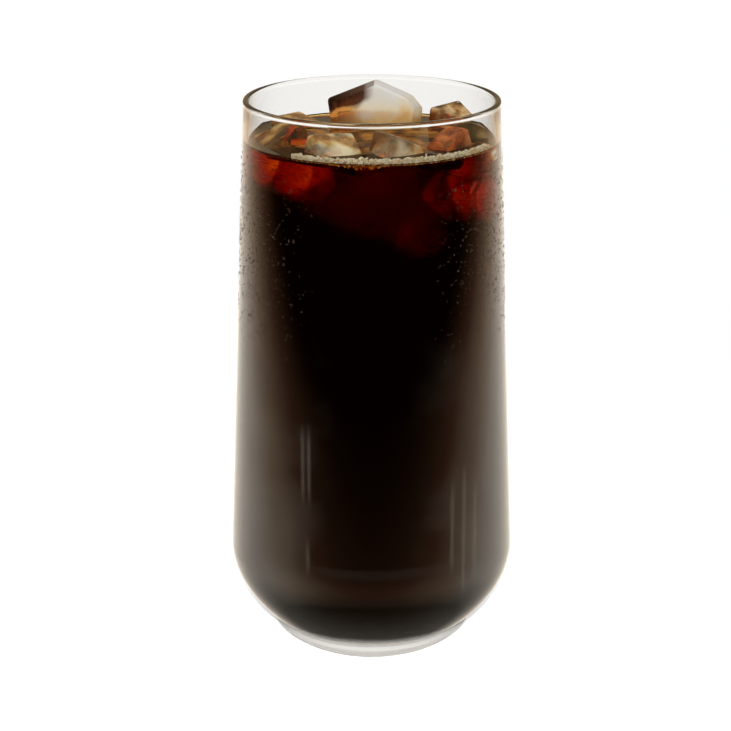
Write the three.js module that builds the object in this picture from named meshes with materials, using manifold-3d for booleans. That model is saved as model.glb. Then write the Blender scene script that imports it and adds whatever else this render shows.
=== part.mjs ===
// Cold brew coffee over ice in a tall clear tumbler.
// Units are millimetres, +Z is up, the origin is the centre of the base and
// the side that the drink is seen from faces -Y.

import * as THREE from 'three';
import { ConvexGeometry } from 'three/addons/geometries/ConvexGeometry.js';
import { mergeVertices } from 'three/addons/utils/BufferGeometryUtils.js';
import Module from 'manifold-3d';

const wasm = await Module();
wasm.setup();

// Outside of the tumbler
const HEIGHT = 150;
const MOUTH_RADIUS = 33.1;
const BELLY_RADIUS = 38.4;
const BELLY_HEIGHT = 28;
const WALL_BOW = -0.062;
const NOTCH_RADIUS = 26.2;
const NOTCH_HEIGHT = 6.6;
const NOTCH_DEPTH = 0.3;
const CORNER_START_ANGLE = 42;
const CORNER_START_REACH = 10;
const CORNER_END_REACH = 8;
const FOOT_RADIUS = 27.2;
const FOOT_POWER = 1.25;
const CONTACT_RADIUS = 18;
const PUNT_RADIUS = 12;
const PUNT_HEIGHT = 0.9;

// Rim bead
const BEAD_HALF_WIDTH = 0.8;
const BEAD_HALF_HEIGHT = 0.7;
const BEAD_INSET = 0.7;
const BEAD_OUTER_ANGLE = -29;
const BEAD_INNER_ANGLE = 209;

// Inside of the tumbler
const WALL_AT_MOUTH = 1.4;
const WALL_AT_BELLY = 2.0;
const FLOOR_HEIGHT = 11;
const FLOOR_RADIUS = 15;
const INNER_CORNER_HEIGHT = 34;
const INNER_CORNER_POWER = 1.75;

// Drink
const COFFEE_LEVEL = 139.5;
const GAP = 0.3;
const ICE_GAP = 0.36;

// Froth along the front of the drink, by its angle from the -Y direction
const FROTH_START = -38;
const FROTH_END = 64;
const FROTH_HEIGHT = 1.5;
const FROTH_WIDTH = 2.2;
const FROTH_PATCH_WIDTH = 8.5;
const FROTH_PATCH_ANGLE = -5;
const FROTH_PATCH_SPREAD = 9;
const BUBBLE_SIZE = 1.7;

// Fineness of the round shapes
const ROUND_STEPS = 48;
const FROTH_STEPS = 72;

// The large clear slab of ice at the back: its outline across and up, seen from the front
const SLAB = { centre: [0.6, 16.2, 141.4], turn: [-15, 0, 0] };
const SLAB_OUTLINE = [[-12.6, 5.4], [0.8, 10.6], [10.6, 6.2], [13.2, 3.0], [11.6, -9.5], [-10.4, -9.5]];
const SLAB_THICKNESS = 6.4;
const SLAB_FRONT_SHARE = 0.8;

// Other ice: centre, half sizes, turns about X, Y and Z in degrees, and what its corners are skewed by
const CUBES = [
  { centre: [-22.4, -5.4, 138.0], half: [7.2, 6.4, 5.6], turn: [10, -16, 16], skew: 1.7 },
  { centre: [-9.8, -15.0, 137.2], half: [7.4, 6.0, 6.0], turn: [24, 14, 24], skew: 2.9 },
  { centre: [5.4, -16.4, 137.6], half: [6.5, 6.2, 5.6], turn: [-14, 22, 30], skew: 3.8 },
  { centre: [20.0, -9.2, 137.2], half: [5.2, 5.0, 6.0], turn: [18, -14, 52], skew: 4.6 },
  { centre: [20.6, 14.4, 139.2], half: [5.2, 5.2, 6.4], turn: [10, 8, 38], skew: 5.5 },
  { centre: [26.2, 2.0, 138.2], half: [3.8, 4.0, 4.4], turn: [-12, 16, 24], skew: 0.9 },
  { centre: [-20.4, 14.2, 136.8], half: [6.4, 6.2, 6.2], turn: [6, -6, 43], skew: 2.2 },
];
const ICE_SKEW = 0.2;
const ICE_PIECES = [SLAB, ...CUBES];

// Materials
const glassMaterial = new THREE.MeshStandardMaterial({
  color: 0xeaf0f0, roughness: 0.05, metalness: 0, transparent: true, opacity: 0.3,
});
const coffeeMaterial = new THREE.MeshStandardMaterial({ color: 0x1c0703, roughness: 0.1, metalness: 0 });
const frothMaterial = new THREE.MeshStandardMaterial({ color: 0xc8b48c, roughness: 0.6, metalness: 0 });
const iceMaterial = new THREE.MeshStandardMaterial({
  color: 0xdfe3e2, roughness: 0.08, metalness: 0, transparent: true, opacity: 0.5,
});

const degrees = THREE.MathUtils.degToRad;

// Radius of the outer wall at a height above the belly
function wallRadius(z) {
  const t = (HEIGHT - z) / (HEIGHT - BELLY_HEIGHT);
  return MOUTH_RADIUS + (BELLY_RADIUS - MOUTH_RADIUS) * (t + WALL_BOW * t * (1 - t));
}

// Radius of the inner wall at a height above the inner corner
function innerRadius(z) {
  const t = (HEIGHT - z) / (HEIGHT - BELLY_HEIGHT);
  return wallRadius(z) - WALL_AT_MOUTH - (WALL_AT_BELLY - WALL_AT_MOUTH) * t;
}

// Points of a rounded corner between an inner lower point and an outer upper point
function cornerPoints(inner, outer, power, steps) {
  const points = [];
  for (let i = 0; i <= steps; i++) {
    const angle = (Math.PI / 2) * (1 - i / steps);
    const across = Math.cos(angle) ** (2 / power);
    const down = Math.sin(angle) ** (2 / power);
    points.push([inner[0] + (outer[0] - inner[0]) * across, outer[1] - (outer[1] - inner[1]) * down]);
  }
  return points;
}

// Points of the outer corner, a smooth curve from the notch up to the belly
function bellyPoints(steps) {
  const start = new THREE.Vector2(NOTCH_RADIUS, NOTCH_HEIGHT);
  const end = new THREE.Vector2(BELLY_RADIUS, BELLY_HEIGHT);
  const rise = degrees(CORNER_START_ANGLE);
  const leave = new THREE.Vector2(Math.cos(rise), Math.sin(rise));
  leave.multiplyScalar(CORNER_START_REACH).add(start);
  const arrive = new THREE.Vector2(0, -CORNER_END_REACH).add(end);
  const curve = new THREE.CubicBezierCurve(start, leave, arrive, end);
  return curve.getPoints(steps).map((point) => [point.x, point.y]);
}

// Points of a wall between two heights, both ends included
function wallPoints(radius, from, to, steps) {
  const points = [];
  for (let i = 0; i <= steps; i++) {
    const z = from + ((to - from) * i) / steps;
    points.push([radius(z), z]);
  }
  return points;
}

// Points of the rounded rim, from its outer side over the top to its inner side
function beadPoints(steps) {
  const middle = [MOUTH_RADIUS - BEAD_INSET, HEIGHT - BEAD_HALF_HEIGHT];
  const points = [];
  for (let i = 0; i <= steps; i++) {
    const angle = degrees(BEAD_OUTER_ANGLE + ((BEAD_INNER_ANGLE - BEAD_OUTER_ANGLE) * i) / steps);
    points.push([
      middle[0] + BEAD_HALF_WIDTH * Math.cos(angle),
      middle[1] + BEAD_HALF_HEIGHT * Math.sin(angle),
    ]);
  }
  return points;
}

// A profile of radius and height pairs turned about the Z axis
function turned(profile) {
  const points = profile.map(([radius, height]) => new THREE.Vector2(radius, height));
  return new THREE.LatheGeometry(points, ROUND_STEPS).rotateX(Math.PI / 2);
}

function glassGeometry() {
  const wallTop = HEIGHT - 2 * BEAD_HALF_HEIGHT;
  const foot = cornerPoints([CONTACT_RADIUS, 0], [FOOT_RADIUS, NOTCH_HEIGHT - NOTCH_DEPTH], FOOT_POWER, 4);
  const wall = wallPoints(wallRadius, BELLY_HEIGHT, wallTop, 4).slice(1);
  const inside = [
    ...cornerPoints(
      [FLOOR_RADIUS, FLOOR_HEIGHT],
      [innerRadius(INNER_CORNER_HEIGHT), INNER_CORNER_HEIGHT],
      INNER_CORNER_POWER,
      6,
    ),
    ...wallPoints(innerRadius, INNER_CORNER_HEIGHT, wallTop, 4).slice(1),
  ].reverse();
  return turned([
    [0, PUNT_HEIGHT],
    [PUNT_RADIUS * 0.75, PUNT_HEIGHT * 0.55],
    [PUNT_RADIUS, 0],
    ...foot,
    ...bellyPoints(8),
    ...wall,
    ...beadPoints(8),
    ...inside,
    [0, FLOOR_HEIGHT],
  ]);
}

// The drink fills the inside up to its level, a small gap away from the glass
function drinkGeometry() {
  const cornerTop = INNER_CORNER_HEIGHT;
  return turned([
    [0, FLOOR_HEIGHT + GAP],
    ...cornerPoints(
      [FLOOR_RADIUS, FLOOR_HEIGHT + GAP],
      [innerRadius(cornerTop) - GAP, cornerTop],
      INNER_CORNER_POWER,
      6,
    ),
    ...wallPoints((z) => innerRadius(z) - GAP, cornerTop, COFFEE_LEVEL, 3).slice(1),
    [0, COFFEE_LEVEL],
  ]);
}

// Corners of the slab, its front smaller than its back
function slabCorners(grow) {
  const front = -SLAB_THICKNESS / 2 - grow;
  return SLAB_OUTLINE.flatMap(([x, z]) => {
    const share = 1 + (1.8 * grow) / Math.hypot(x, z);
    const frontShare = share * SLAB_FRONT_SHARE;
    return [[x * frontShare, front, z * frontShare], [x * share, -front, z * share]];
  });
}

// Corners of a broken ice cube, each drawn in by its own amount
function cubeCorners({ half, skew }, grow) {
  const corners = [];
  for (let k = 0; k < 8; k++) {
    const signs = [k & 1 ? 1 : -1, k & 2 ? 1 : -1, k & 4 ? 1 : -1];
    corners.push(signs.map((sign, axis) => {
      const drawnIn = ICE_SKEW * (1 + Math.sin(skew * (k + 1) + 2.4 * axis + 1.7 * k));
      return sign * (half[axis] * (1 - drawnIn) + grow);
    }));
  }
  return corners;
}

function iceGeometry(piece, grow) {
  const corners = piece === SLAB ? slabCorners(grow) : cubeCorners(piece, grow);
  return new ConvexGeometry(corners.map((corner) => new THREE.Vector3(...corner)));
}

// Turns and moves an object to where its piece of ice lies
function placeIce(object, piece) {
  object.position.set(...piece.centre);
  object.rotation.set(...piece.turn.map(degrees));
  object.updateMatrix();
  return object;
}

// A band of froth that follows the wall, widened into a patch, with bumps of the bubbles' size
function frothGeometry() {
  const bottom = COFFEE_LEVEL + GAP;
  const outside = innerRadius(bottom + 2 * FROTH_HEIGHT) - 1.3 * GAP;
  const sides = 6;
  const positions = [];
  const index = [];
  for (let i = 0; i <= FROTH_STEPS; i++) {
    const along = i / FROTH_STEPS;
    const angle = FROTH_START + (FROTH_END - FROTH_START) * along;
    const patch = Math.exp(-(((angle - FROTH_PATCH_ANGLE) / FROTH_PATCH_SPREAD) ** 2));
    const ends = Math.sin(Math.PI * along) ** 0.3;
    const beads = Math.abs(Math.sin((Math.PI * degrees(angle) * outside) / BUBBLE_SIZE));
    const width = (FROTH_WIDTH + FROTH_PATCH_WIDTH * patch + 0.4 * beads) * Math.max(ends, 0.4);
    const height = (FROTH_HEIGHT * (0.6 + 0.4 * beads) + 0.3 * patch) * Math.max(ends, 0.5);
    const section = [
      [0, 0],
      [0, height],
      [-0.35 * width, height * (0.75 + 0.25 * beads)],
      [-0.7 * width, height * (0.85 - 0.2 * beads)],
      [-width, 0.35 * height],
      [-width, 0],
    ];
    for (const [radial, up] of section) {
      const radius = outside + radial;
      positions.push(radius * Math.sin(degrees(angle)), -radius * Math.cos(degrees(angle)), bottom + up);
    }
  }
  for (let i = 0; i < FROTH_STEPS; i++) {
    for (let j = 0; j < sides; j++) {
      const a = i * sides + j;
      const b = i * sides + ((j + 1) % sides);
      index.push(a, b + sides, b, a, a + sides, b + sides);
    }
  }
  const last = FROTH_STEPS * sides;
  for (let j = 1; j < sides - 1; j++) {
    index.push(0, j, j + 1);
    index.push(last, last + j + 1, last + j);
  }
  const geometry = new THREE.BufferGeometry();
  geometry.setAttribute('position', new THREE.Float32BufferAttribute(positions, 3));
  geometry.setIndex(index);
  return geometry;
}

// A closed geometry as a solid for cutting
function solidOf(geometry) {
  const bare = geometry.clone();
  bare.deleteAttribute('normal');
  bare.deleteAttribute('uv');
  const merged = mergeVertices(bare);
  const corners = merged.index.array;
  const triVerts = [];
  for (let i = 0; i < corners.length; i += 3) {
    const [a, b, c] = corners.slice(i, i + 3);
    if (a !== b && b !== c && c !== a) triVerts.push(a, b, c);
  }
  return new wasm.Manifold(new wasm.Mesh({
    numProp: 3,
    vertProperties: new Float32Array(merged.attributes.position.array),
    triVerts: new Uint32Array(triVerts),
  }));
}

// The largest piece of a solid, as a geometry
function geometryOf(solid) {
  const pieces = solid.decompose().sort((a, b) => b.volume() - a.volume());
  const mesh = pieces[0].getMesh();
  const geometry = new THREE.BufferGeometry();
  geometry.setAttribute('position', new THREE.Float32BufferAttribute(mesh.vertProperties, 3));
  geometry.setIndex(new THREE.Uint32BufferAttribute(mesh.triVerts, 1));
  geometry.computeVertexNormals();
  return geometry;
}

// Everything that the ice keeps clear of other pieces
function iceHollows() {
  return ICE_PIECES.map((piece) => {
    const place = placeIce(new THREE.Object3D(), piece);
    return solidOf(iceGeometry(piece, ICE_GAP).applyMatrix4(place.matrix));
  });
}

function cutByIce(geometry) {
  return geometryOf(iceHollows().reduce((rest, hollow) => rest.subtract(hollow), solidOf(geometry)));
}

function named(name, geometry, material) {
  const mesh = new THREE.Mesh(geometry, material);
  mesh.name = name;
  return mesh;
}

const drink = new THREE.Group();
drink.add(named('glass', glassGeometry(), glassMaterial));
drink.add(named('coffee', cutByIce(drinkGeometry()), coffeeMaterial));
drink.add(named('froth', cutByIce(frothGeometry()), frothMaterial));
ICE_PIECES.forEach((piece, i) => {
  drink.add(placeIce(named(`ice_${i + 1}`, iceGeometry(piece, 0), iceMaterial), piece));
});

export default drink;
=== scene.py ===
"""Looks of a tall tumbler of cold brew coffee over ice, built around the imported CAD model."""

import math

import bmesh
import bpy
import numpy as np
from mathutils import Matrix, Vector


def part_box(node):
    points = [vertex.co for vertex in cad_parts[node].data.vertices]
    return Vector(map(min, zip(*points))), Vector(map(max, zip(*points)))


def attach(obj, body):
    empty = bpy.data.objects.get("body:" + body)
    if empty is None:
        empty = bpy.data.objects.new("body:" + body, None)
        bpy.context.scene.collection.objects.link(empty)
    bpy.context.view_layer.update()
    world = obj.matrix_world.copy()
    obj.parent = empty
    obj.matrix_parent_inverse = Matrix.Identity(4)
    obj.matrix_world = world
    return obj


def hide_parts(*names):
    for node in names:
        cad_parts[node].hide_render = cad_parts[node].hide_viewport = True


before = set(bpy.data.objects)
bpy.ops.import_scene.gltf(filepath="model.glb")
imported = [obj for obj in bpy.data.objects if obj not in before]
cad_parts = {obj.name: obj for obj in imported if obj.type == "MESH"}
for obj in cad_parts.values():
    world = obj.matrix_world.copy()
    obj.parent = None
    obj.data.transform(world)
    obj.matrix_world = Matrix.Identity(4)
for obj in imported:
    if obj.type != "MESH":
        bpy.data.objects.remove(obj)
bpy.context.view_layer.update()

MM = 0.001

# Tumbler, in millimetres, as in the CAD model
GLASS_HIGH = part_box("glass")[1]
HEIGHT = GLASS_HIGH.z / MM
BELLY_RADIUS = GLASS_HIGH.x / MM
MOUTH_RADIUS = 33.1
BELLY_HEIGHT = 28
WALL_BOW = -0.062
NOTCH_RADIUS = 26.2
NOTCH_HEIGHT = 6.6
NOTCH_DEPTH = 0.3
CORNER_START_ANGLE = 42
CORNER_START_REACH = 10
CORNER_END_REACH = 8
FOOT_RADIUS = 27.2
FOOT_POWER = 1.25
CONTACT_RADIUS = 18
PUNT_RADIUS = 12
PUNT_HEIGHT = 0.9
PUNT_BEND = (0.75, 0.55)
BEAD_HALF_WIDTH = 0.8
BEAD_HALF_HEIGHT = 0.7
BEAD_INSET = 0.7
BEAD_OUTER_ANGLE = -29
BEAD_INNER_ANGLE = 209
WALL_AT_MOUTH = 1.4
WALL_AT_BELLY = 2.0
FLOOR_HEIGHT = 11
FLOOR_RADIUS = 15
INNER_CORNER_HEIGHT = 34
INNER_CORNER_POWER = 1.75
ROUND_STEPS = 192

# Drink
COFFEE_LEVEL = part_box("coffee")[1].z / MM
MENISCUS_RISE = 0.5
MENISCUS_WIDTH = 1.0
MENISCUS_REACH = 3.5
MENISCUS_FALL = 1.6
INTO_WALL = 0.2
ICE_OVERLAP = 0.12
LEVEL_MARGIN = 0.05

# Refractive indices
GLASS_INDEX = 1.5
COFFEE_INDEX = 1.34
ICE_INDEX = 1.31
WATER_INDEX = 1.33

# The clear slab of ice at the back: centre, turns in degrees and outline across and up
SLAB = ("ice_1", (0.6, 16.2, 141.4), (-15, 0, 0))
SLAB_OUTLINE = [(-12.6, 5.4), (0.8, 10.6), (10.6, 6.2), (13.2, 3.0), (11.6, -9.5), (-10.4, -9.5)]
SLAB_THICKNESS = 6.4
SLAB_FRONT_SHARE = 0.8
SLAB_EDGE_GROWTH = 1.8

# Broken ice cubes: node, centre, turns, half sizes and what their corners are skewed by
CUBES = [
    ("ice_2", (-22.4, -5.4, 138.0), (10, -16, 16), (7.2, 6.4, 5.6), 1.7),
    ("ice_3", (-9.8, -15.0, 137.2), (24, 14, 24), (7.4, 6.0, 6.0), 2.9),
    ("ice_4", (5.4, -16.4, 137.6), (-14, 22, 30), (6.5, 6.2, 5.6), 3.8),
    ("ice_5", (20.0, -9.2, 137.2), (18, -14, 52), (5.2, 5.0, 6.0), 4.6),
    ("ice_6", (20.6, 14.4, 139.2), (10, 8, 38), (5.2, 5.2, 6.4), 5.5),
    ("ice_7", (26.2, 2.0, 138.2), (-12, 16, 24), (3.8, 4.0, 4.4), 0.9),
    ("ice_8", (-20.4, 14.2, 136.8), (6, -6, 43), (6.4, 6.2, 6.2), 2.2),
]
ICE_SKEW = 0.2
ICE_ROUNDING = 0.7

# Tint of each cube, and how much of its mottling is cream. The tints are painted light: each cube's tint
# stands for the coffee's colour shining through it where it stands.
CUBE_TINTS = {
    "ice_2": ((0.90, 0.66, 0.34), 0.00),
    "ice_3": ((1.00, 0.95, 0.78), 0.07),
    "ice_4": ((1.00, 0.93, 0.80), 0.06),
    "ice_5": ((1.00, 0.42, 0.20), 0.03),
    "ice_6": ((0.95, 0.88, 0.80), 0.00),
    "ice_7": ((0.62, 0.60, 0.34), -0.04),
    "ice_8": ((0.95, 0.78, 0.48), 0.00),
}

# Coffee shining through the slab: heights and the side where it is stronger
AMBER_FROM = 138.5
AMBER_TO = 147.5
AMBER_SIDE = -9
CLEAR_SIDE = -2
AMBER_EXTRA = -0.7
FROST_SIDE = 1
FROST_LEAST = 0.1
FROST_SHARE = 0.6

# Painted refraction: a brown band along the upper left edge of the slab, where the dark coffee shows through
# that facet: how the edge rises and where the band lies at its middle
BROWN_RISE = 0.374
BROWN_FROM = 146.5
BROWN_TO = 147.5
BROWN_SIDE = -2.2
BROWN_END = 0.6
BROWN_RAGGED = 6
PAINTED_REFRACTION_COLOR = (0.13, 0.05, 0.025, 1)

# Clear ice sunk in the drink, that lets light through: where it is seen across the front and its
# height, half its width, length and height, and its depth behind the wall
SUNK_CLEAR = [
    (-27.8, 132.6, (7.6, 40.0, 7.5), 0.15),
    (-19.0, 130.6, (7.5, 34.0, 9.0), 3.2),
    (29.2, 122.6, (4.6, 38.0, 7.0), 0.3),
    (28.8, 132.6, (3.0, 26.0, 4.0), 1.1),
    (23.6, 126.8, (6.0, 33.0, 9.0), 3.2),
    (11.8, 115.8, (7.0, 36.0, 8.0), 7.4),
    (1.0, 129.5, (25.0, 36.0, 17.0), 8.3),
]
EDGE_DEPTH = 4.2
SUNK_POWER = 1.8
SUNK_SLOPE = 0.25
SUNK_SWELL = 0.12
SUNK_SWELL_WAVES = (4.1, 3.3)
SUNK_RIPPLE = 0.6
SUNK_RIPPLE_WAVES = (6.3, 5.1)
SUNK_STEPS = 14
SUNK_COVER = 0.6

# Ice just under the surface: centre, turns in degrees, half sizes and what the corners are skewed by.
# Each piece is then moved up or down, so that its top lies at the same depth.
SHALLOW_ICE = [
    ((-1.5, -9.0, 136), (6, -8, 20), (8.5, 5.5, 2.2), 1.3),
    ((-15.0, -3.5, 136), (-8, 6, 50), (7.5, 6.0, 2.0), 2.1),
    ((12.5, -6.0, 136), (6, 8, 30), (6.5, 6.5, 2.0), 3.3),
    ((1.0, 3.5, 136), (5, 5, 12), (9.5, 6.5, 2.2), 4.1),
    ((27.5, -9.0, 136), (4, -8, 24), (3.6, 5.0, 1.8), 5.2),
    ((-27.0, 4.5, 136), (-6, 4, 66), (5.0, 3.6, 1.8), 0.7),
    ((13.5, 7.5, 136), (-6, 6, 70), (6.0, 6.0, 2.2), 2.7),
    ((-12.0, 7.0, 136), (6, 6, 35), (6.0, 6.0, 2.2), 3.9),
]
SHALLOW_DEPTH = 0.35

# Froth along the front, by its angle from the -Y direction
FROTH_START = -38
FROTH_END = 64
FROTH_WIDTH = 2.2
FROTH_PATCH_WIDTH = 8.5
FROTH_PATCH_ANGLE = -5
FROTH_PATCH_SPREAD = 9
FROTH_HEIGHT = 1.5
FROTH_HANG = 1.2
FROTH_GAP_SHARE = 0.8
FROTH_BUBBLES = 1500
BUBBLE_SMALLEST = 0.22
BUBBLE_SPREAD = 0.44
BUBBLE_LIFT = 0.4

# Condensation on the outside
DROP_COUNT = 5200
DROP_FREE_FRONT = 14
DROP_FULL_FRONT = 28
DROP_LOW = 84
DROP_HIGH = 138
DROP_SMALLEST = 0.14
DROP_SPREAD = 0.30
DROP_FLATNESS = 0.55
DROP_SINK = 0.02

# Haze on the outside: its heights, how much it hides and how far to the sides it starts and is full
HAZE_TOP = 96
HAZE_FULL = 66
HAZE_LOW = 26
HAZE_FOOT = 12
HAZE_SHARE = 0.009
HAZE_INNER = 9
HAZE_OUTER = 20

# Painted highlights, thin streaks of reflected light down the outside: how far across the front, top and
# bottom
PAINTED_STREAK_SHARE = 0.014
PAINTED_STREAK_HALF_WIDTH = 0.75
PAINTED_STREAK_FADE = 6
PAINTED_STREAKS = [
    (-17.7, 73, 50),
    (-16.1, 73, 50),
    (-16.6, 43, 30),
    (23.1, 68, 62),
    (20.8, 58, 30),
    (23.9, 61, 23),
    (26.9, 55, 26),
]

# Milky foot of the glass
FOOT_MILKY_FROM = 11.5
FOOT_MILKY_TO = 6.5
FOOT_MILKINESS = 0.6

# Colours, and how dense the drink is
GLASS_COLOR = (0.978, 0.974, 0.961, 1)
HAZE_COLOR = (0.80, 0.72, 0.58, 1)
FOOT_COLOR = (0.40, 0.39, 0.37, 1)
FLOOR_COLOR = (0.93, 0.93, 0.93, 1)
COFFEE_COLOR = (0.9, 0.65, 0.0, 1)
COFFEE_DENSITY = 2000

# Camera, in millimetres: the photograph's view from a little above
PHOTO_SIZE = 731
FOCAL_PIXELS = 1969
CAMERA_X = -1.65
CAMERA_DISTANCE = 500
CAMERA_HEIGHT = 248.2
AIM_HEIGHT = 77.4
SENSOR_WIDTH = 36

# Fill light
FILL_POWER = 30
FILL_ANGLE = 26
FILL_BLEND = 0.6
FILL_RADIUS = 20
FILL_ABOVE_CAMERA = 30

# Floor
FLOOR_HALF_SIZE = 4000

# Mirrored room: its colours from its dark front to its light back
REFLECTED_ROOM = [
    (-0.97, (0.03, 0.003, 0.00)),
    (-0.75, (0.08, 0.03, 0.01)),
    (-0.51, (0.22, 0.10, 0.05)),
    (-0.28, (0.42, 0.19, 0.11)),
    (-0.03, (0.76, 0.48, 0.30)),
    (0.19, (1.12, 0.76, 0.50)),
    (0.38, (1.38, 1.05, 0.80)),
    (0.60, (1.60, 1.34, 1.12)),
    (0.90, (1.60, 1.44, 1.26)),
]
ROOM_SCALE = 2.0
ROOM_BRIGHTNESS = 1.08
ROOM_EYE_LINE = -0.27
DARKER_ABOVE = 8.0
DARKER_REACH = 1.3
LIGHTER_BELOW = 5.0
LIGHTEST_BELOW = 0.12
CEILING_START = -0.13
CEILING_END = 0.05
CEILING_COLOR = (0.42, 0.32, 0.20)
FLOOR_SHADE_START = -0.45
FLOOR_SHADE_END = -0.80
FLOOR_SHADE = 0.15


# Mesh helpers

def mesh_object(name, vertices, faces, materials, face_material=None):
    """A new smooth object from vertices in millimetres."""
    mesh = bpy.data.meshes.new(name)
    mesh.from_pydata([Vector(v) * MM for v in vertices], [], faces)
    for material in materials:
        mesh.materials.append(material)
    if face_material is not None:
        mesh.polygons.foreach_set("material_index", face_material)
    mesh.polygons.foreach_set("use_smooth", [True] * len(mesh.polygons))
    mesh.update()
    piece = bpy.data.objects.new(name, mesh)
    bpy.context.scene.collection.objects.link(piece)
    return piece


def turned(profile, materials=None):
    """Vertices, faces and material numbers of a profile turned about Z; a radius of 0 is a pole.
    The faces point out where the profile runs counterclockwise, up along the outside."""
    steps = ROUND_STEPS
    vertices = []
    rings = []
    for radius, height in profile:
        if radius == 0:
            rings.append([len(vertices)])
            vertices.append((0, 0, height))
            continue
        rings.append(list(range(len(vertices), len(vertices) + steps)))
        for i in range(steps):
            angle = 2 * math.pi * i / steps
            vertices.append((radius * math.cos(angle), radius * math.sin(angle), height))
    faces = []
    numbers = []
    for k, (low, high) in enumerate(zip(rings, rings[1:])):
        for i in range(steps):
            j = (i + 1) % steps
            if len(low) == 1:
                faces.append((low[0], high[j], high[i]))
            elif len(high) == 1:
                faces.append((low[i], low[j], high[0]))
            else:
                faces.append((low[i], low[j], high[j], high[i]))
            numbers.append(materials[k] if materials else 0)
    return vertices, faces, numbers


def wall_radius(z):
    t = (HEIGHT - z) / (HEIGHT - BELLY_HEIGHT)
    return MOUTH_RADIUS + (BELLY_RADIUS - MOUTH_RADIUS) * (t + WALL_BOW * t * (1 - t))


def inner_radius(z):
    t = (HEIGHT - z) / (HEIGHT - BELLY_HEIGHT)
    return wall_radius(z) - WALL_AT_MOUTH - (WALL_AT_BELLY - WALL_AT_MOUTH) * t


def corner_points(inner, outer, power, steps):
    """Points of a rounded corner between an inner lower point and an outer upper point."""
    points = []
    for i in range(steps + 1):
        angle = math.pi / 2 * (1 - i / steps)
        across = abs(math.cos(angle)) ** (2 / power) if i else 0
        down = math.sin(angle) ** (2 / power)
        points.append((inner[0] + (outer[0] - inner[0]) * across, outer[1] - (outer[1] - inner[1]) * down))
    return points


def belly_points(steps):
    """Points of the outer corner, a smooth curve from the notch up to the belly."""
    start = Vector((NOTCH_RADIUS, NOTCH_HEIGHT))
    end = Vector((BELLY_RADIUS, BELLY_HEIGHT))
    rise = math.radians(CORNER_START_ANGLE)
    leave = start + CORNER_START_REACH * Vector((math.cos(rise), math.sin(rise)))
    arrive = end - Vector((0, CORNER_END_REACH))
    points = []
    for i in range(steps + 1):
        t = i / steps
        point = (1 - t) ** 3 * start + 3 * (1 - t) ** 2 * t * leave
        point += 3 * (1 - t) * t ** 2 * arrive + t ** 3 * end
        points.append((point.x, point.y))
    return points


def wall_points(radius, low, high, steps):
    heights = [low + (high - low) * i / steps for i in range(steps + 1)]
    return [(radius(z), z) for z in heights]


def bead_points(steps):
    """Points of the rounded rim, from its outer side over the top to its inner side."""
    middle = (MOUTH_RADIUS - BEAD_INSET, HEIGHT - BEAD_HALF_HEIGHT)
    points = []
    for i in range(steps + 1):
        angle = math.radians(BEAD_OUTER_ANGLE + (BEAD_INNER_ANGLE - BEAD_OUTER_ANGLE) * i / steps)
        across = BEAD_HALF_WIDTH * math.cos(angle)
        up = BEAD_HALF_HEIGHT * math.sin(angle)
        points.append((middle[0] + across, middle[1] + up))
    return points


# Materials

def new_material(name):
    material = bpy.data.materials.new(name)
    material.use_nodes = True
    nodes = material.node_tree.nodes
    nodes.clear()
    output = nodes.new("ShaderNodeOutputMaterial")
    return material, nodes, material.node_tree.links, output


def own_place(nodes, links):
    """A piece's own coordinates, whole and as X, Y and Z."""
    place = nodes.new("ShaderNodeTexCoord").outputs["Object"]
    parts = nodes.new("ShaderNodeSeparateXYZ")
    links.new(place, parts.inputs[0])
    return place, parts.outputs


def glass_shader(nodes, index, roughness=0.0, color=(1, 1, 1, 1)):
    shader = nodes.new("ShaderNodeBsdfGlass")
    shader.inputs["IOR"].default_value = index
    shader.inputs["Roughness"].default_value = roughness
    shader.inputs["Color"].default_value = color
    return shader


def diffuse_shader(nodes, color):
    shader = nodes.new("ShaderNodeBsdfDiffuse")
    shader.inputs["Color"].default_value = color
    return shader


def solid_shader(nodes, links, color, roughness, index):
    """A shader with a painted body colour under a gloss."""
    shader = nodes.new("ShaderNodeBsdfPrincipled")
    shader.inputs["Roughness"].default_value = roughness
    shader.inputs["IOR"].default_value = index
    links.new(color, shader.inputs["Base Color"])
    return shader


def mix_shaders(nodes, links, share, first, second):
    """The first shader where the share is 0 and the second where it is 1."""
    mix = nodes.new("ShaderNodeMixShader")
    for socket, value in zip(mix.inputs, (share, first, second)):
        links.new(value, socket)
    return mix.outputs[0]


def mix_colors(nodes, links, share, first, second):
    """The first, painted colour where the share is 0 and the second, plain one where it is 1."""
    mix = nodes.new("ShaderNodeMix")
    mix.data_type = "RGBA"
    mix.inputs["B"].default_value = second
    links.new(share, mix.inputs["Factor"])
    links.new(first, mix.inputs["A"])
    return mix.outputs["Result"]


def math_node(nodes, links, operation, first, second):
    """A math node whose inputs are sockets or numbers."""
    node = nodes.new("ShaderNodeMath")
    node.operation = operation
    for socket, value in zip(node.inputs, (first, second)):
        if isinstance(value, (int, float)):
            socket.default_value = value
        else:
            links.new(value, socket)
    return node.outputs[0]


def product(nodes, links, first, *others):
    """All the given sockets and numbers multiplied."""
    for other in others:
        first = math_node(nodes, links, "MULTIPLY", first, other)
    return first


def noise_node(nodes, links, place, scale, detail):
    noise = nodes.new("ShaderNodeTexNoise")
    noise.inputs["Scale"].default_value = scale
    noise.inputs["Detail"].default_value = detail
    links.new(place, noise.inputs["Vector"])
    return noise.outputs["Fac"]


def ramp_node(nodes, links, factor, stops):
    """A colour ramp from positions and colours."""
    ramp = nodes.new("ShaderNodeValToRGB")
    elements = ramp.color_ramp.elements
    while len(elements) < len(stops):
        elements.new(0.5)
    for element, (at, color) in zip(elements, stops):
        element.position = at
        element.color = (*color, 1)
    links.new(factor, ramp.inputs[0])
    return ramp.outputs[0]


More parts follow.
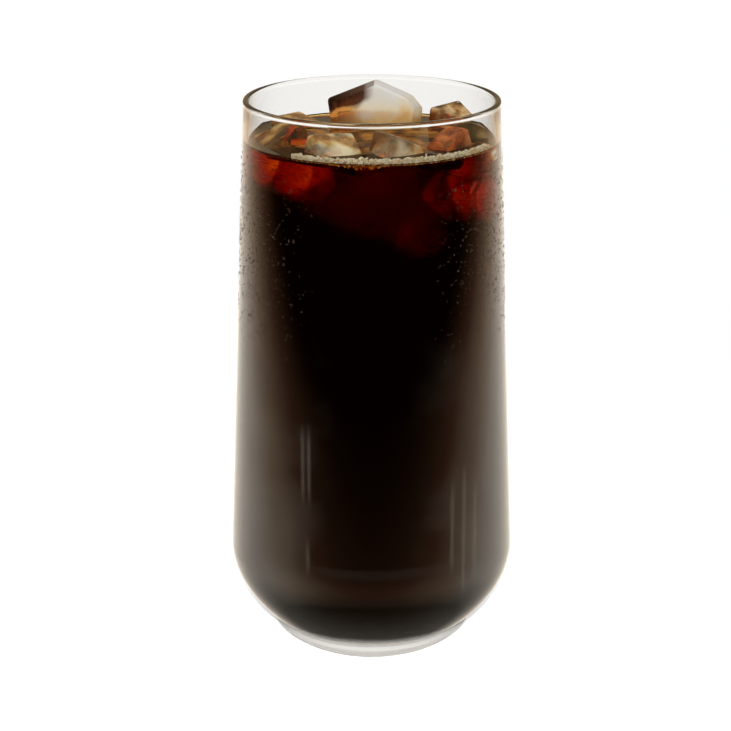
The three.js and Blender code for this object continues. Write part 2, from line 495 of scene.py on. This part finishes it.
def bump_node(nodes, links, height, strength, distance):
    bump = nodes.new("ShaderNodeBump")
    bump.inputs["Strength"].default_value = strength
    bump.inputs["Distance"].default_value = distance
    links.new(height, bump.inputs["Height"])
    return bump.outputs[0]


def range_node(nodes, links, value, low, high, to_low=0.0, to_high=1.0):
    """Maps a range of values to another one, held at both ends."""
    spread = nodes.new("ShaderNodeMapRange")
    spread.inputs["From Min"].default_value = low
    spread.inputs["From Max"].default_value = high
    spread.inputs["To Min"].default_value = to_low
    spread.inputs["To Max"].default_value = to_high
    links.new(value, spread.inputs["Value"])
    return spread.outputs["Result"]


def painted_streak_share(nodes, links, parts, across, high, low):
    """How much a painted highlight, a streak of reflected light down the front, hides, with soft ends."""
    away = math_node(nodes, links, "SUBTRACT", parts["X"], across * MM)
    away = math_node(nodes, links, "ABSOLUTE", away, 0.0)
    line = range_node(nodes, links, away, 0.0, PAINTED_STREAK_HALF_WIDTH * MM, PAINTED_STREAK_SHARE, 0.0)
    top = range_node(nodes, links, parts["Z"], (high - PAINTED_STREAK_FADE) * MM, high * MM, 1.0, 0.0)
    bottom = range_node(nodes, links, parts["Z"], low * MM, (low + PAINTED_STREAK_FADE) * MM)
    front = math_node(nodes, links, "LESS_THAN", parts["Y"], 0.0)
    return product(nodes, links, line, top, bottom, front)


def make_glass_material():
    """Clear glass with a thin uneven haze and painted highlights, streaks of reflected light, over its lower
    half, and a milky foot.
    """
    material, nodes, links, output = new_material("glass_clear")
    place, parts = own_place(nodes, links)
    clear = glass_shader(nodes, GLASS_INDEX, color=GLASS_COLOR)
    haze = diffuse_shader(nodes, HAZE_COLOR)
    milk = diffuse_shader(nodes, FOOT_COLOR)
    patches = range_node(nodes, links, noise_node(nodes, links, place, 55, 3), 0.42, 0.72, 0.0, HAZE_SHARE)
    top = range_node(nodes, links, parts["Z"], HAZE_TOP * MM, HAZE_FULL * MM)
    foot = range_node(nodes, links, parts["Z"], HAZE_FOOT * MM, HAZE_LOW * MM)
    reach = math_node(nodes, links, "ABSOLUTE", parts["X"], 0.0)
    sides = range_node(nodes, links, reach, HAZE_INNER * MM, HAZE_OUTER * MM)
    share = product(nodes, links, patches, top, foot, sides)
    # Painted highlights: streaks of reflected light, drawn in the haze colour over the glass.
    for across, high, low in PAINTED_STREAKS:
        share = math_node(nodes, links, "ADD", share, painted_streak_share(nodes, links, parts, across, high, low))
    hazy = mix_shaders(nodes, links, share, clear.outputs[0], haze.outputs[0])
    milky = range_node(
        nodes, links, parts["Z"], FOOT_MILKY_TO * MM, FOOT_MILKY_FROM * MM, FOOT_MILKINESS, 0.0,
    )
    surface = mix_shaders(nodes, links, milky, hazy, milk.outputs[0])
    links.new(surface, output.inputs["Surface"])
    return material


def make_wet_glass_material():
    """The wetted inside of the wall, where the drink's own surface does the bending of light."""
    material, nodes, links, output = new_material("glass_wetted")
    clear = nodes.new("ShaderNodeBsdfTransparent")
    links.new(clear.outputs[0], output.inputs["Surface"])
    return material


def make_coffee_material():
    """Coffee that bends light as against air on top and as against glass at the wall and the base.
    Where it meets ice, light goes straight on."""
    material, nodes, links, output = new_material("coffee_liquid")
    place, parts = own_place(nodes, links)
    to_air = glass_shader(nodes, COFFEE_INDEX)
    to_wall = nodes.new("ShaderNodeBsdfRefraction")
    to_wall.inputs["IOR"].default_value = COFFEE_INDEX / GLASS_INDEX
    to_wall.inputs["Roughness"].default_value = 0
    to_base = glass_shader(nodes, COFFEE_INDEX / GLASS_INDEX)
    to_ice = nodes.new("ShaderNodeBsdfTransparent")
    flat = nodes.new("ShaderNodeVectorMath")
    flat.operation = "MULTIPLY"
    flat.inputs[1].default_value = (1, 1, 0)
    reach = nodes.new("ShaderNodeVectorMath")
    reach.operation = "LENGTH"
    links.new(place, flat.inputs[0])
    links.new(flat.outputs["Vector"], reach.inputs[0])
    wall = range_node(
        nodes, links, parts["Z"], INNER_CORNER_HEIGHT * MM, COFFEE_LEVEL * MM,
        (inner_radius(INNER_CORNER_HEIGHT) - INTO_WALL) * MM, (inner_radius(COFFEE_LEVEL) - INTO_WALL) * MM,
    )
    at_wall = math_node(nodes, links, "GREATER_THAN", reach.outputs["Value"], wall)
    at_base = math_node(nodes, links, "LESS_THAN", parts["Z"], INNER_CORNER_HEIGHT * MM)
    at_glass = math_node(nodes, links, "MAXIMUM", at_wall, at_base)
    at_top = math_node(nodes, links, "GREATER_THAN", parts["Z"], (COFFEE_LEVEL - LEVEL_MARGIN) * MM)
    to_glass = mix_shaders(nodes, links, at_base, to_wall.outputs[0], to_base.outputs[0])
    under = mix_shaders(nodes, links, at_glass, to_ice.outputs[0], to_glass)
    surface = mix_shaders(nodes, links, at_top, under, to_air.outputs[0])
    links.new(surface, output.inputs["Surface"])
    depth = nodes.new("ShaderNodeVolumeAbsorption")
    depth.inputs["Color"].default_value = COFFEE_COLOR
    depth.inputs["Density"].default_value = COFFEE_DENSITY
    links.new(depth.outputs[0], output.inputs["Volume"])
    return material


def wet_below(nodes, links, parts, dry, output):
    """Shows a shader above the drink only; below it the drink's own surface bends the light."""
    wet = nodes.new("ShaderNodeBsdfTransparent")
    above = math_node(nodes, links, "GREATER_THAN", parts["Z"], COFFEE_LEVEL * MM)
    links.new(mix_shaders(nodes, links, above, wet.outputs[0], dry), output.inputs["Surface"])


def painted_refraction_share(nodes, links, parts, uneven):
    """How much painted refraction of the dark coffee the slab shows: along its upper left edge, and on the
    face over that edge.
    """
    normal = nodes.new("ShaderNodeSeparateXYZ")
    links.new(nodes.new("ShaderNodeNewGeometry").outputs["Normal"], normal.inputs[0])
    leftward = range_node(nodes, links, normal.outputs["X"], -0.40, -0.25, 1.0, 0.0)
    upward = range_node(nodes, links, normal.outputs["Z"], 0.2, 0.5)
    edge = math_node(nodes, links, "MULTIPLY", parts["X"], BROWN_RISE)
    height = math_node(nodes, links, "SUBTRACT", parts["Z"], edge)
    ragged = product(nodes, links, math_node(nodes, links, "SUBTRACT", uneven, 0.5), BROWN_RAGGED * MM)
    height = math_node(nodes, links, "ADD", height, ragged)
    near_edge = range_node(nodes, links, height, BROWN_FROM * MM, BROWN_TO * MM)
    left = range_node(nodes, links, parts["X"], BROWN_SIDE * MM, BROWN_END * MM, 1.0, 0.0)
    band = product(nodes, links, near_edge, left)
    return math_node(nodes, links, "MAXIMUM", band, product(nodes, links, leftward, upward))


def make_slab_material():
    """Clear ice, white at the top, with a painted brown band where the dark coffee shows through one edge,
    and amber where coffee shines through.
    """
    material, nodes, links, output = new_material("ice_slab")
    place, parts = own_place(nodes, links)
    uneven = noise_node(nodes, links, place, 160, 2)
    height = range_node(nodes, links, parts["Z"], AMBER_FROM * MM, AMBER_TO * MM)
    side = range_node(nodes, links, parts["X"], AMBER_SIDE * MM, CLEAR_SIDE * MM, AMBER_EXTRA, 0.0)
    level = math_node(nodes, links, "ADD", height, uneven)
    level = math_node(nodes, links, "ADD", level, side)
    tint = ramp_node(nodes, links, math_node(nodes, links, "SUBTRACT", level, 0.5), [
        (0.00, (0.82, 0.52, 0.22)),
        (0.30, (0.90, 0.60, 0.22)),
        (0.62, (1.00, 0.92, 0.72)),
        (1.00, (0.97, 0.96, 0.94)),
    ])
    # Painted refraction: the dark coffee seen through the upper left edge, as a brown band.
    color = mix_colors(nodes, links, painted_refraction_share(nodes, links, parts, uneven), tint, PAINTED_REFRACTION_COLOR)
    clear = glass_shader(nodes, ICE_INDEX, roughness=0.03)
    frost = solid_shader(nodes, links, color, 0.25, ICE_INDEX)
    links.new(color, clear.inputs["Color"])
    relief = bump_node(nodes, links, noise_node(nodes, links, place, 150, 2), 0.5, 0.0012)
    links.new(relief, clear.inputs["Normal"])
    links.new(relief, frost.inputs["Normal"])
    milky = range_node(nodes, links, parts["X"], AMBER_SIDE * MM, FROST_SIDE * MM, FROST_LEAST, FROST_SHARE)
    dry = mix_shaders(nodes, links, milky, clear.outputs[0], frost.outputs[0])
    wet_below(nodes, links, parts, dry, output)
    return material


def make_cube_material(name, tint, cream):
    """Cracked ice with a coffee film and with painted light: amber, brown and cream facets under a glossy
    wet face, the amber and brown also standing for coffee seen through the ice.
    """
    material, nodes, links, output = new_material(name + "_stained")
    place, parts = own_place(nodes, links)
    mottled = noise_node(nodes, links, place, 170, 4)
    patches = noise_node(nodes, links, place, 130, 2)
    stops = [
        (0.36, (0.06, 0.02, 0.006)),
        (0.45, (0.30, 0.13, 0.04)),
        (0.52, (0.60, 0.36, 0.14)),
        (0.59, (0.84, 0.66, 0.38)),
        (0.68, (1.00, 0.94, 0.76)),
    ]
    # Painted light: each cube's tint, standing for the coffee shining through it, colours its mottling and
    # its clear part.
    tinted = [(at - cream, tuple(c * t for c, t in zip(color, tint))) for at, color in stops]
    stain_and_painted_light = solid_shader(nodes, links, ramp_node(nodes, links, mottled, tinted), 0.12, ICE_INDEX)
    stain_and_painted_light.inputs["Coat Weight"].default_value = 0.6
    stain_and_painted_light.inputs["Coat Roughness"].default_value = 0.03
    clear = glass_shader(nodes, ICE_INDEX, roughness=0.03, color=(*tint, 1))
    facets = bump_node(nodes, links, mottled, 0.6, 0.0010)
    links.new(facets, stain_and_painted_light.inputs["Normal"])
    links.new(facets, clear.inputs["Normal"])
    share = range_node(nodes, links, patches, 0.42, 0.58, 0.15, 0.8)
    dry = mix_shaders(nodes, links, share, clear.outputs[0], stain_and_painted_light.outputs[0])
    wet_below(nodes, links, parts, dry, output)
    return material


def make_shallow_material():
    """Cream-coloured, mottled ice that the drink above it tints amber and red."""
    material, nodes, links, output = new_material("ice_shallow")
    place, _ = own_place(nodes, links)
    color = ramp_node(nodes, links, noise_node(nodes, links, place, 190, 4), [
        (0.40, (0.10, 0.03, 0.01)),
        (0.50, (0.58, 0.36, 0.18)),
        (0.60, (0.98, 0.92, 0.78)),
    ])
    shader = solid_shader(nodes, links, color, 0.3, ICE_INDEX)
    links.new(shader.outputs[0], output.inputs["Surface"])
    return material


def make_froth_material():
    """Cream-coloured bubbles, partly clear."""
    material, nodes, links, output = new_material("froth_bubbles")
    place, _ = own_place(nodes, links)
    color = ramp_node(nodes, links, noise_node(nodes, links, place, 900, 2), [
        (0.3, (0.80, 0.60, 0.30)),
        (0.7, (1.00, 0.95, 0.76)),
    ])
    shader = solid_shader(nodes, links, color, 0.2, WATER_INDEX)
    shader.inputs["Transmission Weight"].default_value = 0.08
    links.new(shader.outputs[0], output.inputs["Surface"])
    return material


def make_water_material():
    material, nodes, links, output = new_material("water_drops")
    links.new(glass_shader(nodes, WATER_INDEX).outputs[0], output.inputs["Surface"])
    return material


# Pieces

def make_glass(clear, wetted):
    wall_top = HEIGHT - 2 * BEAD_HALF_HEIGHT
    contact = COFFEE_LEVEL + MENISCUS_RISE
    bend = (PUNT_RADIUS * PUNT_BEND[0], PUNT_HEIGHT * PUNT_BEND[1])
    outside = [(0, PUNT_HEIGHT), bend, (PUNT_RADIUS, 0)]
    outside += corner_points((CONTACT_RADIUS, 0), (FOOT_RADIUS, NOTCH_HEIGHT - NOTCH_DEPTH), FOOT_POWER, 14)
    outside += belly_points(40)
    outside += wall_points(wall_radius, BELLY_HEIGHT, wall_top, 24)[1:]
    dry = bead_points(20) + wall_points(inner_radius, contact, wall_top, 6)[::-1]
    corner_top = (inner_radius(INNER_CORNER_HEIGHT), INNER_CORNER_HEIGHT)
    wet = wall_points(inner_radius, INNER_CORNER_HEIGHT, contact, 24)[::-1][1:]
    wet += corner_points((FLOOR_RADIUS, FLOOR_HEIGHT), corner_top, INNER_CORNER_POWER, 30)[::-1][1:]
    wet += [(0, FLOOR_HEIGHT)]
    profile = outside + dry + wet
    numbers = [0] * (len(outside) + len(dry) - 1) + [1] * len(wet)
    vertices, faces, face_material = turned(profile, numbers)
    glass = mesh_object("tumbler", vertices, faces, [clear, wetted], face_material)
    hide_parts("glass")
    return glass


def slab_corners(grow):
    front = -SLAB_THICKNESS / 2 - grow
    corners = []
    for x, z in SLAB_OUTLINE:
        share = 1 + SLAB_EDGE_GROWTH * grow / math.hypot(x, z)
        corners.append((x * share * SLAB_FRONT_SHARE, front, z * share * SLAB_FRONT_SHARE))
        corners.append((x * share, -front, z * share))
    return corners


def cube_corners(half, skew, grow):
    """Corners of a broken ice cube, each drawn in by its own amount."""
    corners = []
    for k in range(8):
        corner = []
        for axis in range(3):
            sign = 1 if k >> axis & 1 else -1
            drawn_in = ICE_SKEW * (1 + math.sin(skew * (k + 1) + 2.4 * axis + 1.7 * k))
            corner.append(sign * (half[axis] * (1 - drawn_in) + grow))
        corners.append(corner)
    return corners


def ice_mesh(name, centre, turn, corners, material):
    """A chunk of ice: the hull of its corners with softly melted edges."""
    rx, ry, rz = (math.radians(a) for a in turn)
    turns = Matrix.Rotation(rx, 3, "X") @ Matrix.Rotation(ry, 3, "Y") @ Matrix.Rotation(rz, 3, "Z")
    ice = bmesh.new()
    for corner in corners:
        ice.verts.new((Vector(centre) + turns @ Vector(corner)) * MM)
    bmesh.ops.convex_hull(ice, input=ice.verts[:])
    mesh = bpy.data.meshes.new(name)
    ice.to_mesh(mesh)
    ice.free()
    mesh.materials.append(material)
    mesh.polygons.foreach_set("use_smooth", [True] * len(mesh.polygons))
    piece = bpy.data.objects.new(name, mesh)
    bpy.context.scene.collection.objects.link(piece)
    rounding = piece.modifiers.new("melted", "BEVEL")
    rounding.width = ICE_ROUNDING * MM
    rounding.segments = 3
    rounding.limit_method = "ANGLE"
    rounding.angle_limit = math.radians(12)
    rounding.harden_normals = True
    bpy.context.view_layer.objects.active = piece
    bpy.ops.object.modifier_apply(modifier=rounding.name)
    return piece


def ice_pieces(material, grow=0.0):
    """Every piece of ice that stands out of the drink."""
    name, centre, turn = SLAB
    pieces = [ice_mesh(name + "_clear", centre, turn, slab_corners(grow), material)]
    for name, centre, turn, half, skew in CUBES:
        pieces.append(ice_mesh(name + "_clear", centre, turn, cube_corners(half, skew, grow), material))
    return pieces


def sunk_mesh(across, height, half, depth, material):
    """A melted lump of ice that lies along the bent line of sight and ends at a depth behind the wall."""
    reach = wall_radius(height)
    bend = math.asin(across / reach) - math.asin(across / reach / COFFEE_INDEX)
    side = Vector((math.cos(bend), math.sin(bend), 0))
    away = Vector((-math.sin(bend), math.cos(bend), 0))
    swell_x, swell_z = SUNK_SWELL_WAVES
    ripple_x, ripple_z = SUNK_RIPPLE_WAVES
    lump = bmesh.new()
    bmesh.ops.create_cube(lump, size=2)
    bmesh.ops.subdivide_edges(lump, edges=lump.edges[:], cuts=SUNK_STEPS, use_grid_fill=True)
    for vertex in lump.verts:
        p = vertex.co
        p = p * sum(abs(c) ** SUNK_POWER for c in p) ** (-1 / SUNK_POWER)
        swell = 1 + SUNK_SWELL * math.sin(swell_x * p.x + across) * math.sin(swell_z * p.z + height)
        place = side * (across / COFFEE_INDEX + half[0] * swell * p.x) + away * half[1] * p.y
        ripple = 1 + math.sin(ripple_x * p.x + across) * math.sin(ripple_z * p.z + height)
        behind = depth + SUNK_RIPPLE * ripple + EDGE_DEPTH * (p.x ** 2 + p.z ** 2)
        for _ in range(2):
            z = height + half[2] * swell * p.z - SUNK_SLOPE * place.dot(away)
            place *= min(1, (inner_radius(z) - behind) / max(place.length, MM))
        vertex.co = Vector((place.x, place.y, min(z, COFFEE_LEVEL - SUNK_COVER))) * MM
    mesh = bpy.data.meshes.new("hollow")
    lump.to_mesh(mesh)
    lump.free()
    mesh.materials.append(material)
    piece = bpy.data.objects.new("hollow", mesh)
    bpy.context.scene.collection.objects.link(piece)
    return piece


def meniscus_points(steps):
    """The drink's surface from the wall inwards, which climbs the glass a little."""
    edge = inner_radius(COFFEE_LEVEL) + INTO_WALL
    points = []
    for i in range(steps + 1):
        inward = MENISCUS_REACH * MENISCUS_WIDTH * (i / steps) ** 1.5
        rise = MENISCUS_RISE * math.exp(-inward / MENISCUS_WIDTH * MENISCUS_FALL)
        points.append((edge - inward, COFFEE_LEVEL + rise))
    return points


def cut_away(piece, cutter):
    """Cuts one mesh out of another and removes the cutter."""
    boolean = piece.modifiers.new("cut", "BOOLEAN")
    boolean.operation = "DIFFERENCE"
    boolean.solver = "MANIFOLD"
    boolean.object = cutter
    bpy.context.view_layer.objects.active = piece
    bpy.ops.object.modifier_apply(modifier=boolean.name)
    bpy.data.objects.remove(cutter)


def make_coffee(material):
    corner_top = (inner_radius(INNER_CORNER_HEIGHT) + INTO_WALL, INNER_CORNER_HEIGHT)
    floor = FLOOR_HEIGHT - INTO_WALL
    profile = [(0, floor)]
    profile += corner_points((FLOOR_RADIUS, floor), corner_top, INNER_CORNER_POWER, 30)
    top = COFFEE_LEVEL + MENISCUS_RISE
    profile += wall_points(lambda z: inner_radius(z) + INTO_WALL, INNER_CORNER_HEIGHT, top, 24)[1:-1]
    profile += meniscus_points(10)
    profile += [(0, COFFEE_LEVEL)]
    vertices, faces, _ = turned(profile)
    coffee = mesh_object("coffee_fill", vertices, faces, [material])
    for hollow in ice_pieces(material, grow=-ICE_OVERLAP):
        cut_away(coffee, hollow)
    for across, height, half, depth in SUNK_CLEAR:
        cut_away(coffee, sunk_mesh(across, height, half, depth, material))
    bpy.ops.object.select_all(action="DESELECT")
    coffee.select_set(True)
    bpy.context.view_layer.objects.active = coffee
    bpy.ops.object.shade_smooth_by_angle(angle=math.radians(32))
    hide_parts("coffee")
    return coffee


def make_ice(slab_material):
    pieces = ice_pieces(slab_material)
    for piece in pieces:
        node = piece.name.removesuffix("_clear")
        if node in CUBE_TINTS:
            piece.data.materials[0] = make_cube_material(node, *CUBE_TINTS[node])
        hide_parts(node)
    return pieces


def make_shallow_ice(material):
    """Ice wholly under the surface, where it shows through a thin layer of the drink."""
    pieces = []
    for centre, turn, half, skew in SHALLOW_ICE:
        piece = ice_mesh("ice_shallow", centre, turn, cube_corners(half, skew, 0), material)
        top = max(vertex.co.z for vertex in piece.data.vertices)
        piece.location.z = (COFFEE_LEVEL - SHALLOW_DEPTH) * MM - top
        pieces.append(piece)
    return pieces


def dome(segments, rings):
    """Unit dome points and faces, closed underneath."""
    points = [(0.0, 0.0, 1.0)]
    for k in range(1, rings + 1):
        lean = math.pi / 2 * k / rings
        for i in range(segments):
            turn = 2 * math.pi * (i + 0.5 * (k % 2)) / segments
            points.append((math.sin(lean) * math.cos(turn), math.sin(lean) * math.sin(turn), math.cos(lean)))
    faces = [(0, 1 + i, 1 + (i + 1) % segments) for i in range(segments)]
    for k in range(rings - 1):
        for i in range(segments):
            j = (i + 1) % segments
            a = 1 + k * segments
            b = a + segments
            faces.append((a + i, b + i, b + j, a + j))
    faces.append(tuple(1 + (rings - 1) * segments + i for i in reversed(range(segments))))
    return np.array(points), faces


def scattered(name, centres, axes, sizes, flatness, shape, material):
    """Copies of one small shape, each turned to its axis, as one mesh."""
    points, faces = shape
    vertices = []
    all_faces = []
    for centre, axis, size in zip(centres, axes, sizes):
        out = Vector(axis).normalized()
        side = out.orthogonal().normalized()
        other = out.cross(side)
        turn = np.array([side, other, out])
        start = len(vertices)
        scaled = points * (size, size, size * flatness)
        vertices.extend((scaled @ turn + np.array(centre)).tolist())
        all_faces.extend(tuple(start + i for i in face) for face in faces)
    return mesh_object(name, vertices, all_faces, [material])


def make_drops(material):
    """Condensation on the outside of the wall, which thins out towards the middle of the front."""
    random = np.random.RandomState(7)
    heights = DROP_LOW + (DROP_HIGH - DROP_LOW) * random.beta(2.2, 1.6, DROP_COUNT)
    angles = random.uniform(0, 2 * math.pi, DROP_COUNT)
    sizes = DROP_SMALLEST + DROP_SPREAD * random.beta(1.2, 4.0, DROP_COUNT)
    slope = (wall_radius(DROP_LOW) - wall_radius(DROP_HIGH)) / (DROP_HIGH - DROP_LOW)
    centres = []
    axes = []
    kept = []
    for z, angle, size in zip(heights, angles, sizes):
        radius = wall_radius(z) - DROP_SINK
        x = radius * math.cos(angle)
        y = radius * math.sin(angle)
        share = (abs(x) - DROP_FREE_FRONT) / (DROP_FULL_FRONT - DROP_FREE_FRONT)
        if y < 0 and random.uniform() > share:
            continue
        centres.append((x, y, z))
        axes.append((math.cos(angle), math.sin(angle), slope))
        kept.append(size)
    drops = scattered("condensation", centres, axes, kept, DROP_FLATNESS, dome(8, 3), material)
    return drops


def froth_patch(angle):
    """How much a place along the front belongs to the wide patch of froth, from 0 to 1."""
    return math.exp(-(((angle - FROTH_PATCH_ANGLE) / FROTH_PATCH_SPREAD) ** 2))


def in_ice(x, y):
    """Whether a point of the surface lies at a cube that stands out of it."""
    for _, centre, _, half, _ in CUBES:
        if math.hypot(x - centre[0], y - centre[1]) < FROTH_GAP_SHARE * max(half):
            return True
    return False


def ball(segments, rings):
    """Unit ball points and faces."""
    points = [(0.0, 0.0, 1.0)]
    for k in range(1, rings):
        lean = math.pi * k / rings
        for i in range(segments):
            turn = 2 * math.pi * i / segments
            points.append((math.sin(lean) * math.cos(turn), math.sin(lean) * math.sin(turn), math.cos(lean)))
    points.append((0.0, 0.0, -1.0))
    last = len(points) - 1
    faces = [(0, 1 + i, 1 + (i + 1) % segments) for i in range(segments)]
    for k in range(rings - 2):
        for i in range(segments):
            j = (i + 1) % segments
            a = 1 + k * segments
            b = a + segments
            faces.append((a + i, b + i, b + j, a + j))
    low = 1 + (rings - 2) * segments
    faces += [(low + (i + 1) % segments, low + i, last) for i in range(segments)]
    return np.array(points), faces


def make_froth(material):
    """Bubbles heaped along the front of the drink."""
    random = np.random.RandomState(11)
    edge = inner_radius(COFFEE_LEVEL)
    centres = []
    sizes = []
    while len(centres) < FROTH_BUBBLES:
        angle = random.uniform(FROTH_START, FROTH_END)
        patch = froth_patch(angle)
        inward = (FROTH_WIDTH + FROTH_PATCH_WIDTH * patch) * random.beta(1.0, 1.5)
        size = BUBBLE_SMALLEST + BUBBLE_SPREAD * random.beta(1.1, 3.0)
        radius = edge - size - inward
        turn = math.radians(angle)
        x = radius * math.sin(turn)
        y = -radius * math.cos(turn)
        if in_ice(x, y):
            continue
        heap = FROTH_HEIGHT * math.exp(-inward / FROTH_WIDTH)
        z = COFFEE_LEVEL + BUBBLE_LIFT * size + random.uniform(-FROTH_HANG * patch / heap, 1) * heap
        centres.append((x, y, z))
        sizes.append(size)
    axes = random.normal(size=(len(centres), 3))
    froth = scattered("froth_bubbles", centres, axes, sizes, 1.0, ball(8, 6), material)
    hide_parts("froth")
    return froth


# Floor, light and camera

def make_floor():
    material, nodes, links, output = new_material("floor_white")
    links.new(diffuse_shader(nodes, FLOOR_COLOR).outputs[0], output.inputs["Surface"])
    half = FLOOR_HALF_SIZE
    corners = [(-half, -half, 0), (half, -half, 0), (half, half, 0), (-half, half, 0)]
    floor = mesh_object("floor", corners, [(0, 1, 2, 3)], [material])
    floor.visible_glossy = False


def room_color(nodes, links, parts):
    """Colour of the mirrored room: dark in front and above, lighter behind and below, with a ceiling."""
    below = math_node(nodes, links, "SUBTRACT", ROOM_EYE_LINE, parts["Z"])
    above = math_node(nodes, links, "MINIMUM", 0.0, below)
    facing = math_node(nodes, links, "SUBTRACT", DARKER_REACH, parts["Y"])
    darker = product(nodes, links, above, facing, DARKER_ABOVE)
    low = math_node(nodes, links, "MAXIMUM", 0.0, below)
    low = math_node(nodes, links, "MINIMUM", LIGHTEST_BELOW, low)
    lighter = math_node(nodes, links, "MULTIPLY", LIGHTER_BELOW, low)
    shift = math_node(nodes, links, "ADD", darker, lighter)
    toward_back = range_node(nodes, links, math_node(nodes, links, "ADD", parts["Y"], shift), -1.0, 1.0)
    stops = [((at + 1) / 2, [c / ROOM_SCALE for c in color]) for at, color in REFLECTED_ROOM]
    walls = ramp_node(nodes, links, toward_back, stops)
    ceiling = range_node(nodes, links, parts["Z"], CEILING_START, CEILING_END)
    return mix_colors(nodes, links, ceiling, walls, [c / ROOM_SCALE for c in CEILING_COLOR] + [1])


def make_world():
    """An even white room, of which rays that were mirrored at least once see a darker, warmer one."""
    world = bpy.data.worlds.new("studio")
    bpy.context.scene.world = world
    world.use_nodes = True
    nodes = world.node_tree.nodes
    links = world.node_tree.links
    nodes.clear()
    parts = nodes.new("ShaderNodeSeparateXYZ")
    links.new(nodes.new("ShaderNodeTexCoord").outputs["Generated"], parts.inputs[0])
    shade = range_node(
        nodes, links, parts.outputs["Z"], FLOOR_SHADE_END, FLOOR_SHADE_START,
        FLOOR_SHADE * ROOM_SCALE, ROOM_SCALE,
    )
    mirrored = nodes.new("ShaderNodeBackground")
    links.new(room_color(nodes, links, parts.outputs), mirrored.inputs["Color"])
    links.new(shade, mirrored.inputs["Strength"])
    plain = nodes.new("ShaderNodeBackground")
    plain.inputs["Color"].default_value = (1, 1, 1, 1)
    plain.inputs["Strength"].default_value = ROOM_BRIGHTNESS
    path = nodes.new("ShaderNodeLightPath")
    shine = math_node(nodes, links, "MINIMUM", 1.0, path.outputs["Glossy Depth"])
    surface = mix_shaders(nodes, links, shine, plain.outputs[0], mirrored.outputs[0])
    output = nodes.new("ShaderNodeOutputWorld")
    links.new(surface, output.inputs["Surface"])


def make_fill_light():
    """A soft light just above the camera that clears the shadow round the foot."""
    data = bpy.data.lights.new("fill", "SPOT")
    data.energy = FILL_POWER
    data.spot_size = math.radians(FILL_ANGLE)
    data.spot_blend = FILL_BLEND
    data.shadow_soft_size = FILL_RADIUS * MM
    light = bpy.data.objects.new("fill", data)
    bpy.context.scene.collection.objects.link(light)
    place = Vector((CAMERA_X, -CAMERA_DISTANCE, CAMERA_HEIGHT + FILL_ABOVE_CAMERA)) * MM
    aim = Vector((CAMERA_X, 0, 0)) * MM
    light.location = place
    light.rotation_euler = (aim - place).to_track_quat("-Z", "Y").to_euler()
    light.visible_glossy = False
    light.visible_transmission = False


def make_camera():
    data = bpy.data.cameras.new("camera")
    data.sensor_width = SENSOR_WIDTH
    data.lens = SENSOR_WIDTH * FOCAL_PIXELS / PHOTO_SIZE
    data.clip_start = 0.01
    camera = bpy.data.objects.new("camera", data)
    bpy.context.scene.collection.objects.link(camera)
    place = Vector((CAMERA_X, -CAMERA_DISTANCE, CAMERA_HEIGHT)) * MM
    aim = Vector((CAMERA_X, 0, AIM_HEIGHT)) * MM
    camera.location = place
    camera.rotation_euler = (aim - place).to_track_quat("-Z", "Y").to_euler()
    bpy.context.scene.camera = camera


def set_light_paths():
    scene = bpy.context.scene
    scene.view_settings.view_transform = "Standard"
    scene.cycles.max_bounces = 24
    scene.cycles.transmission_bounces = 24
    scene.cycles.transparent_max_bounces = 32
    scene.cycles.glossy_bounces = 8
    scene.cycles.use_denoising = True


def build():
    clear = make_glass_material()
    wetted = make_wet_glass_material()
    coffee = make_coffee_material()
    slab_ice = make_slab_material()
    shallow_ice = make_shallow_material()
    bubbles = make_froth_material()
    water = make_water_material()
    pieces = [make_glass(clear, wetted), make_coffee(coffee)]
    pieces += make_ice(slab_ice)
    pieces += make_shallow_ice(shallow_ice)
    pieces += [make_froth(bubbles), make_drops(water)]
    for piece in pieces:
        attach(piece, "root")
    make_floor()
    make_world()
    make_fill_light()
    make_camera()
    set_light_paths()


build()
